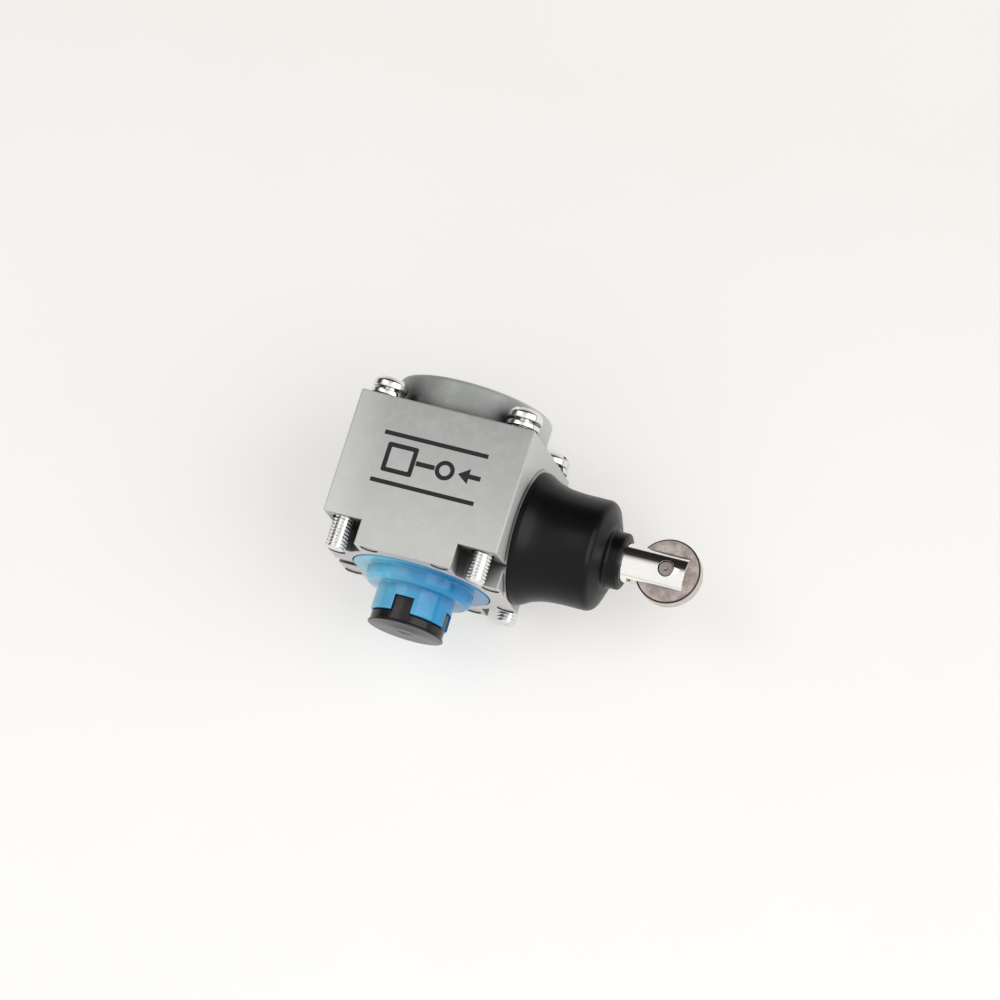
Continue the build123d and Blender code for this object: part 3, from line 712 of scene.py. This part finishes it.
# ----------------------------------------------------------------------------- printed mark on the label face: a plain push symbol
def frame_shape(name, outer_pts, inner_pts):
    """A flat outline band between two loops of equal length."""
    n = len(outer_pts)
    verts = [(x, yy, z) for z in (LABEL_Z - 0.02, LABEL_Z + 0.025) for loop in (outer_pts, inner_pts) for x, yy in loop]
    faces = []
    for k in range(n):
        m = (k + 1) % n
        faces += [(k, m, n + m, n + k), (2 * n + k, 2 * n + m, 3 * n + m, 3 * n + k), (k, m, 2 * n + m, 2 * n + k), (n + k, n + m, 3 * n + m, 3 * n + k)]
    return new_object(name, verts, faces)


def rounded_box(x0, y0_, x1, y1_, r):
    return arcs([(x0, y0_), (x1, y0_), (x1, y1_), (x0, y1_)], [r] * 4, steps=4, closed=True)


def circle(cx, cy, r, n=64):
    return [(cx + r * math.cos(TAU * k / n), cy + r * math.sin(TAU * k / n)) for k in range(n)]


def bar(x0, y0_, x1, y1_):
    return prism("bar", rounded_box(x0, y0_, x1, y1_, 0.1), LABEL_Z - 0.02, LABEL_Z + 0.025)


marks = [bar(-12.6, 26.4, 12.4, 27.4), bar(-12.6, 15.0, 12.4, 16.0),
         frame_shape("body", rounded_box(-11.0, 17.9, -3.6, 24.9, 0.5), rounded_box(-9.95, 18.95, -4.65, 23.85, 0.2)),
         bar(-3.4, 20.85, 1.1, 21.95), frame_shape("wheel", circle(3.6, 21.4, 2.3), circle(3.6, 21.4, 1.3)),
         prism("arrow", [(6.8, 21.4), (9.4, 23.2), (9.4, 21.95), (12.2, 21.95), (12.2, 20.85), (9.4, 20.85), (9.4, 19.6)],
               LABEL_Z - 0.02, LABEL_Z + 0.025)]
mark = join(marks, "printed_mark")
done(mark, "housing", ink.mat, "black_plastic")

# ----------------------------------------------------------------------------- floor, camera, light
bpy.ops.mesh.primitive_plane_add(size=6.0, location=(0, 0, FLOOR_Z))
floor = bpy.context.object
floor.name = "floor"
ground = Mat("floor_white", (0.90, 0.89, 0.88), 0.55)
ground.set("Specular IOR Level", 0.2)
grain = ground.noise(40.0, 3.0)
# painted light falloff: the floor colour darker and warmer towards its far (+Y) side
depth = ground.ramp(ground.axis("Y"), -0.10, 0.13, smooth=False)
near_tone = ground.mix(grain, (0.475, 0.472, 0.468), (0.485, 0.482, 0.478))
far_tone = ground.mix(grain, (0.426, 0.414, 0.400), (0.436, 0.424, 0.410))
table = ground.mix(depth, near_tone, far_tone)
ground.color(table)
# painted light: the floor glows with its own colour, lifting the shadows cast on it
ground.link(table, ground.bsdf.inputs["Emission Color"])
ground.set("Emission Strength", 0.99)
floor.data.materials.append(ground.mat)

right = Vector((0.9348189, 0.2943942, -0.1986092))
down = Vector((0.2342721, -0.9315388, -0.2781225))
ahead = Vector((-0.2668898, 0.2134656, -0.9397884))
target = Vector((0, 18, 1))
cam_data = bpy.data.cameras.new("camera")
cam = bpy.data.objects.new("camera", cam_data)
bpy.context.scene.collection.objects.link(cam)
cam_data.sensor_width, cam_data.lens = 36.0, 216.0
cam_data.clip_start, cam_data.clip_end = 0.05, 20.0
where = target - (right * -12.847938 + down * 1.263455 + ahead * 1371.96005)
cam.matrix_world = Matrix((
    (right.x, -down.x, -ahead.x, where.x * MM),
    (right.y, -down.y, -ahead.y, where.y * MM),
    (right.z, -down.z, -ahead.z, where.z * MM),
    (0, 0, 0, 1)))
bpy.context.scene.camera = cam

world = bpy.data.worlds.new("studio")
bpy.context.scene.world = world
world.use_nodes = True
wn = world.node_tree
bg = wn.nodes["Background"]
tc = wn.nodes.new("ShaderNodeTexCoord")
# bright overhead and on the mounting-face side, dark towards the boss side
lean_dir = Vector((0.15, -0.58, 0.80))
dot = wn.nodes.new("ShaderNodeVectorMath")
dot.operation = "DOT_PRODUCT"
dot.inputs[1].default_value = lean_dir
wn.links.new(tc.outputs["Generated"], dot.inputs[0])
ramp = wn.nodes.new("ShaderNodeValToRGB")
ramp.color_ramp.elements[0].position = 0.0
ramp.color_ramp.elements[0].color = (0.022, 0.020, 0.019, 1)
ramp.color_ramp.elements[1].position = 1.0
ramp.color_ramp.elements[1].color = (1.0, 1.0, 1.0, 1)
for pos, v in ((0.36, 0.035), (0.53, 0.55), (0.66, 0.98)):
    e = ramp.color_ramp.elements.new(pos)
    e.color = (v, v * 0.99, v * 0.98, 1)
wn.links.new(dot.outputs["Value"], ramp.inputs[0])
wn.links.new(ramp.outputs[0], bg.inputs["Color"])
bg.inputs["Strength"].default_value = 1.0


def area(name, loc, aim, size, power, size_y=None):
    data = bpy.data.lights.new(name, "AREA")
    data.energy, data.size = power, size
    if size_y:
        data.shape, data.size_y = "RECTANGLE", size_y
    obj = bpy.data.objects.new(name, data)
    bpy.context.scene.collection.objects.link(obj)
    obj.location = loc
    obj.rotation_euler = (Vector(aim) - Vector(loc)).to_track_quat("-Z", "Y").to_euler()
    return obj


area("right_softbox", (0.98, 0.10, 0.76), (0.0, 0.015, 0), 1.25, 12.0)
area("left_softbox", (-0.62, 0.20, 1.00), (0.0, 0.015, 0), 0.7, 2.8)

bpy.context.scene.view_settings.view_transform = "Standard"
